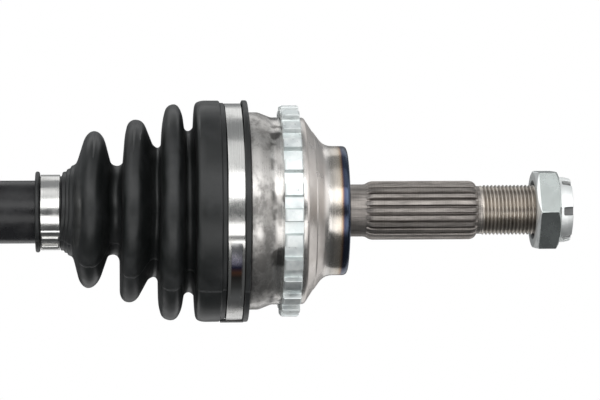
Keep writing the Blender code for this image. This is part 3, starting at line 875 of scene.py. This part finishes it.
def make_outboard_boot():
    wall = 2.0
    folds = [
        (-17.2, 43.6, 1.6),
        (-19.8, 42.6, 1.8),
        (-20.3, 33.0, 1.2),
        (-22.2, 31.5, 1.2),
        (-24.0, 32.4, 1.2),
        (-24.9, 38.6, 2.0),
        (-26.6, 42.0, 1.6),
        (-28.8, 42.8, 1.6),
        (-31.8, 41.6, 1.8),
        (-33.2, 37.0, 2.5),
        (-33.6, 26.6, 1.6),
        (-35.0, 25.3, 1.0),
        (-37.2, 26.4, 1.2),
        (-41.2, 34.6, 1.8),
        (-43.4, 36.1, 1.6),
        (-46.2, 35.8, 1.6),
        (-48.0, 33.4, 2.2),
        (-48.6, 18.8, 1.8),
        (-50.4, 17.2, 1.2),
        (-53.2, 17.8, 1.4),
        (-56.2, 27.8, 2.2),
        (-58.6, 30.5, 1.8),
        (-61.6, 30.9, 1.8),
        (-64.2, 28.4, 2.2),
        (-66.9, 18.9, 1.8),
    ]
    outer = [
        (0.7, 38.4),
        (0.7, 43.6, 0.6),
        (-1.35, 43.7, 0.5),
        (-1.45, 41.3, 0.3),
        (-8.3, 41.3, 0.3),
        (-8.4, 42.6, 0.4),
        (-10.0, 42.7, 0.3),
        (-10.3, 43.55, 0.5),
        *folds,
        (-67.6, 18.0, 0.4),
        (-69.0, 17.4, 0.4),
        (-69.3, 16.6, 0.2),
        (-70.4, 16.3, 0.3),
        (-70.7, 15.5, 0.2),
        (-72.0, 15.3, 0.3),
        (-72.3, 13.75, 0.3),
        (-80.3, 13.75, 0.3),
        (-80.5, 15.9, 0.9),
        (-82.2, 15.9, 0.9),
        (-82.2, 12.65),
    ]
    inner = [
        (-67.0, 12.65),
        (-65.0, 17.0, 1.0),
        (-61.5, 30.9 - wall, 1.0),
        (-58.6, 28.6, 1.0),
        (-54.6, 16.0, 1.0),
        (-50.4, 15.2, 1.0),
        (-46.8, 17.0, 1.0),
        (-45.6, 33.8, 1.0),
        (-42.6, 33.8, 1.0),
        (-38.0, 24.4, 1.0),
        (-35.0, 23.4, 1.0),
        (-31.8, 25.0, 1.0),
        (-31.0, 39.4, 1.0),
        (-27.0, 40.2, 1.0),
        (-25.6, 30.8, 1.0),
        (-22.2, 29.5, 1.0),
        (-18.4, 31.0, 1.0),
        (-17.8, 34.0, 0.6),
        (-17.8, 37.7),
        (0.7, 37.7),
    ]

    def moulded(x, r, angle):
        slack = min(1.0, max(0.0, (-20.0 - x) / 22.0)) * min(1.0, max(0.0, (x + 80.0) / 12.0))
        lean = math.tan(math.radians(2.3)) * r * math.sin(angle) * slack
        lean += uneven(x, angle, 0.9, 3.0) * slack
        lift = 0.9 * min(1.0, max(-0.4, (-42.0 - x) / 16.0)) * min(1.0, max(0.0, (-20.0 - x) / 6.0))
        lift *= min(1.0, max(0.0, (x + 74.0) / 10.0))
        return x + lean, r + lift * math.sin(angle) + uneven(x, angle, 0.35, 11.0) * slack

    boot = swept(
        "outboard_boot_skin", rounded(outer + inner, steps=5), WHEEL, segments=144, shape=moulded, sharp=50
    )
    dress(boot, "rubber", replaces=["outboard_boot"])
    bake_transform(boot)


def make_clamp(name, node, body, centre, ends, inner, look="clamp"):
    """A rolled strip whose overlap stands proud. A large one has a pocket and an upturned end.

    A small one has two folds in their place.
    """
    start, end = ends
    outer = inner + CLAMP_THICKNESS
    middle = centre + (start + end) / 2
    width = end - start
    large = inner > 30
    lap_from, lap_to = (math.radians(13), math.radians(88)) if large else (math.radians(30), math.radians(84))

    def strip(x, r, angle):
        below = angle - CAMERA_SIDE
        rise = 0.0
        if r > inner + 0.2:
            rise = LAP_RISE * between(below, lap_from, lap_to, 0.03)
        if large and r > outer - 0.05 and start + POCKET_RIM < x < end - POCKET_RIM:
            rise -= POCKET_DEPTH * between(below, POCKET_FROM, POCKET_TO, 0.12)
        edge = uneven(x, angle, 0.25, 21.0 + centre)
        return x + edge, r + rise

    outline = rounded(
        [
            (end, inner),
            (end, outer, 0.25),
            (end - 1.1, outer),
            (end - 1.35, outer),
            (start + 1.35, outer),
            (start + 1.1, outer),
            (start, outer, 0.25),
            (start, inner),
        ]
    )
    band = swept(name, outline, centre, segments=240, shape=strip, sharp=30)
    dress(band, look, body, [node])
    if large:
        lip = round_axle(CAMERA_SIDE + math.radians(87), middle - 0.7, outer + 0.75)
        # the upturned end takes the look painted near black as its shadow side
        dress(block(f"{name}_end", (width + 2.6, 1.4, 1.5), lip, 0.25), "clamp_edge", body)
    else:
        for i, (below, reach) in enumerate(((44, 0.6), (62, 0.9))):
            fold = round_axle(CAMERA_SIDE + math.radians(below), middle, outer + reach)
            dress(block(f"{name}_fold_{i + 1}", (width * 0.94, 2.6, 1.5), fold, 0.6), "clamp", body)


# ---------------------------------------------------------------- shaft and inner pieces


def make_shaft():
    outline = rounded(
        [
            (154.0, 0.0),
            (154.0, 10.0, 1.0),
            (152.3, 10.0),
            (152.3, 8.9),
            (150.5, 8.9),
            (150.5, 10.0),
            (129.6, 10.0),
            (129.6, 11.0, 0.4),
            (98.0, 11.0, 3.0),
            (94.0, 12.35, 3.0),
            (-74.0, 12.35, 3.0),
            (-78.0, 11.0, 3.0),
            (-131.6, 11.0, 0.4),
            (-131.6, 10.0),
            (-148.5, 10.0),
            (-148.5, 8.9),
            (-150.3, 8.9),
            (-150.3, 10.0),
            (-152.0, 10.0, 1.0),
            (-152.0, 0.0),
        ]
    )
    shaft = swept("shaft", outline, 0.0, segments=96, closed=False)
    dress(shaft, "paint", "shaft", ["axle_shaft"])


def make_balls():
    for i in range(BALLS):
        bm = bmesh.new()
        bmesh.ops.create_icosphere(bm, subdivisions=4, radius=BALL_R * MM)
        bm.transform(round_axle(2 * math.pi * i / BALLS, WHEEL, BALL_PITCH_R))
        mesh = bpy.data.meshes.new("ball")
        bm.to_mesh(mesh)
        bm.free()
        dress(place(f"ball_{i + 1}_polished", mesh, 60), "bearing", "ball_cage", [f"ball_{i + 1}"])


def dress_inner_nodes():
    """The CAD shapes of the inner pieces stay; they get polished, slightly greasy steel."""
    for node in frame["nodes"].values():
        if node.hide_render:
            continue
        node.data.materials.clear()
        node.data.materials.append(LOOKS["bearing"])


# ---------------------------------------------------------------- gearbox end


def make_tulip():
    outline = rounded(
        [
            (-34.0, 0.0),
            (-34.0, 19.2),
            (7.1, 19.2, 2.0),
            (36.0, 30.1, 0.5),
            (36.0, 36.5, 0.8),
            (-36.5, 36.5, 1.5),
            (-41.0, 32.5, 1.2),
            (-41.0, 23.0, 1.6),
            (-43.5, 20.0, 1.6),
            (-58.5, 20.0, 0.8),
            (-58.5, 12.2),
            (-60.0, 11.7),
            (-60.0, 0.0),
        ]
    )
    tulip = swept("tulip_body", outline, GEARBOX, segments=144, closed=False)
    cutters = []
    for i in range(3):
        angle = 2 * math.pi * i / 3
        cutters.append(block("track", (80.0, 28.6, 12.6), round_axle(angle, GEARBOX + 6.0, 22.5), 1.2))
        opposite = round_axle(angle + math.pi, GEARBOX - 16.0, 39.0) @ Matrix.Rotation(math.pi / 2, 4, "Y")
        cutters.append(rod("scallop", 13.0, 60.0, opposite, sides=64))
    cut(tulip, cutters)
    dress(tulip, "tulip", "tulip", ["tripod_housing"])

    step = 1.0
    count = 22
    crest = [(-61.5 - i * step, 13.0) for i in range(count)]
    stub = [
        (-57.5, 0.0),
        (-57.5, 11.9),
        (-60.2, 11.9),
        *crest,
        (-84.0, 13.0),
        (-84.0, 11.2),
        (-86.4, 11.2),
        (-86.4, 13.0),
        (-90.0, 13.0),
        (-91.9, 11.4),
        (-92.0, 11.0),
        (-92.0, 0.0),
    ]

    def teeth(x, r, angle):
        if r < 11.95 or x < -91.0:
            return x, r
        return x, r - 1.1 * (1.0 - wave(angle * SPLINE_TEETH / (2 * math.pi), 0.30))

    segments = SPLINE_TEETH * 12
    spline = swept("gearbox_stub_spline", stub, GEARBOX, segments, closed=False, shape=teeth, sharp=28)
    dress(spline, "tulip", "tulip")


def make_inboard_boot():
    """Four folds in two pieces that meet in a valley."""
    small_end = [
        (104.0, 12.65),
        (104.0, 15.9, 1.2),
        (101.3, 15.9, 1.2),
        (101.1, 13.75, 0.3),
        (94.7, 13.75, 0.3),
        (94.5, 15.3, 0.4),
        (90.5, 17.0, 1.0),
        (88.6, 23.0, 1.5),
        (86.0, 25.2, 1.6),
        (83.4, 23.4, 1.5),
        (80.5, 18.5, 1.4),
        (76.2, 29.6, 1.6),
        (73.0, 32.4, 1.7),
        (70.0, 31.4, 1.6),
        (67.0, 29.2, 1.2),
        (62.4, 36.4, 1.8),
        (59.0, 38.2, 1.8),
        (56.0, 37.0, 1.6),
        (BOOT_JOIN, 33.7),
    ]
    small_end_inside = [
        (BOOT_JOIN, 31.8),
        (59.0, 36.2, 1.0),
        (67.0, 27.2, 1.0),
        (73.0, 30.4, 1.0),
        (80.5, 16.5, 1.0),
        (86.0, 23.2, 1.0),
        (90.5, 12.65),
    ]
    big_end = [
        (BOOT_JOIN, 33.7),
        (47.8, 39.2, 1.8),
        (44.5, 40.7, 1.8),
        (41.6, 38.6, 1.8),
        (39.3, 33.0, 1.4),
        (37.4, 40.4, 1.0),
        (34.5, 42.0, 1.2),
        (28.7, 42.0, 0.5),
        (28.5, 40.0, 0.3),
        (19.7, 40.0, 0.3),
        (19.5, 42.0, 0.5),
        (17.0, 42.0, 0.6),
        (17.0, 36.8),
    ]
    big_end_inside = [
        (36.5, 36.8),
        (36.5, 32.0, 0.8),
        (39.3, 31.0, 1.0),
        (44.5, 38.7, 1.0),
        (BOOT_JOIN, 31.8),
    ]

    def moulded(x, r, angle):
        slack = min(1.0, max(0.0, (x - 38.0) / 8.0)) * min(1.0, max(0.0, (92.0 - x) / 8.0))
        return x + uneven(x, angle, 0.8, 41.0) * slack, r + uneven(x, angle, 0.3, 57.0) * slack

    halves = (
        ("inboard_boot_small_end", small_end + small_end_inside, "roller_carrier", "shaft", BOOT_JOIN, 84.0),
        ("inboard_boot_big_end", big_end + big_end_inside, "tulip", "roller_carrier", 36.0, BOOT_JOIN),
    )
    for name, outline, body_a, body_b, start, end in halves:
        boot = swept(name, rounded(outline, steps=5), GEARBOX, segments=144, shape=moulded, sharp=50)
        dress(boot, "rubber", replaces=["inboard_boot"])
        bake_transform(boot)


make_studio()
make_bell()
make_spline()
make_thread()
make_abs_ring()
make_hub_nut()
make_outboard_boot()
make_clamp("bell_clamp", "outboard_clamp_large", "bell", WHEEL, LARGE_CLAMP, 41.7, "pocket_clamp")
make_clamp("shaft_clamp", "outboard_clamp_small", "shaft", WHEEL, SMALL_CLAMP, 13.9)
make_shaft()
make_balls()
make_tulip()
make_inboard_boot()
make_clamp("tulip_clamp", "inboard_clamp_large", "tulip", GEARBOX, TULIP_CLAMP, 40.4)
make_clamp("inner_clamp", "inboard_clamp_small", "shaft", GEARBOX, INNER_CLAMP, 13.9)
dress_inner_nodes()
